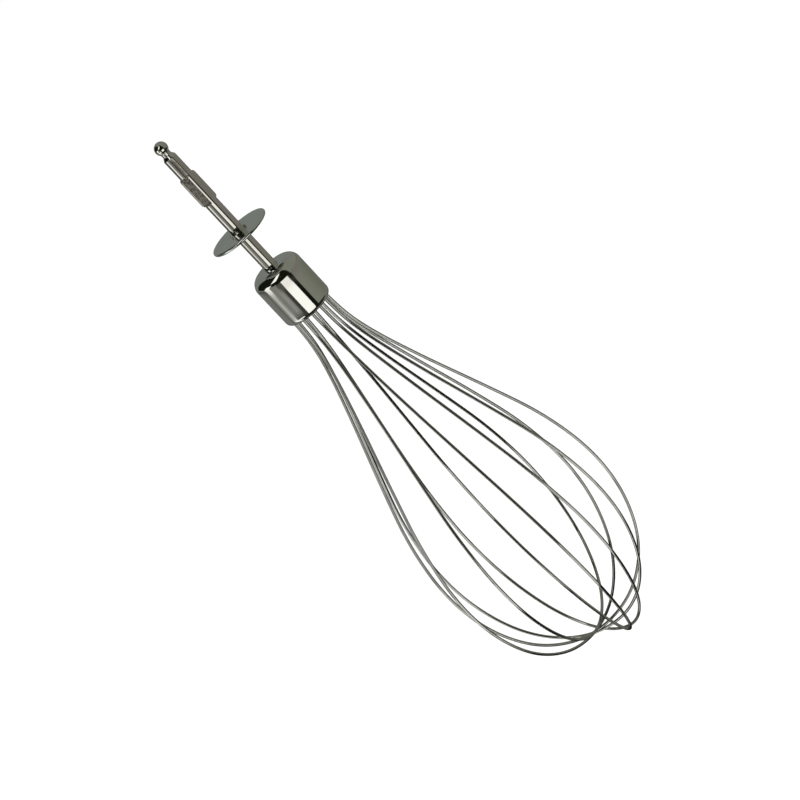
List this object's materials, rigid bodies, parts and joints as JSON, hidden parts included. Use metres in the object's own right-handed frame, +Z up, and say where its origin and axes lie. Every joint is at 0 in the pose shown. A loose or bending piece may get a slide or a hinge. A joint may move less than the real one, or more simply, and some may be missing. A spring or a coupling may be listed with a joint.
{
  "type": "mixer balloon whisk",
  "caption": "Balloon whisk attachment for a mixer: a steel drive spindle with a ball end, wings and splash disc, a drawn ferrule, and bent wire loops in a teardrop balloon.",
  "frame": {"origin": "on the spindle's axis, at the upper face of the splash disc, which stops under the mixer's socket", "axes": "+Z up the spindle, out of its ball end; the balloon hangs along -Z; the drive wings lie along X"},
  "size_m": [0.0919, 0.0933, 0.3037],
  "materials": {
    "spindle_steel": "bright drawn steel, polished, dull where the press has marked it",
    "disc_steel": "bright stamped stainless steel",
    "ferrule_chrome": "mirror-polished drawn stainless steel",
    "washer_steel": "plain steel",
    "core_plastic": "dark moulded plastic, inside the ferrule",
    "seal_rubber": "soft food-grade seal",
    "plate_steel": "stamped stainless steel, fine brushed grain",
    "wire_steel": "bright spring-steel wire, drawn and polished"
  },
  "bodies": {
    "root": {"spindle": "spindle_steel", "splash_disc": "disc_steel", "ferrule": "ferrule_chrome", "clamp_washer": "washer_steel", "hub_core": "core_plastic", "rivet_washer": "washer_steel", "mouth_seal": "seal_rubber", "end_plate": "plate_steel", "wire_loop_1": "wire_steel", "wire_loop_2": "wire_steel", "wire_loop_3": "wire_steel", "wire_loop_4": "wire_steel", "wire_loop_5": "wire_steel", "wire_loop_6": "wire_steel"}
  },
  "joints": []
}
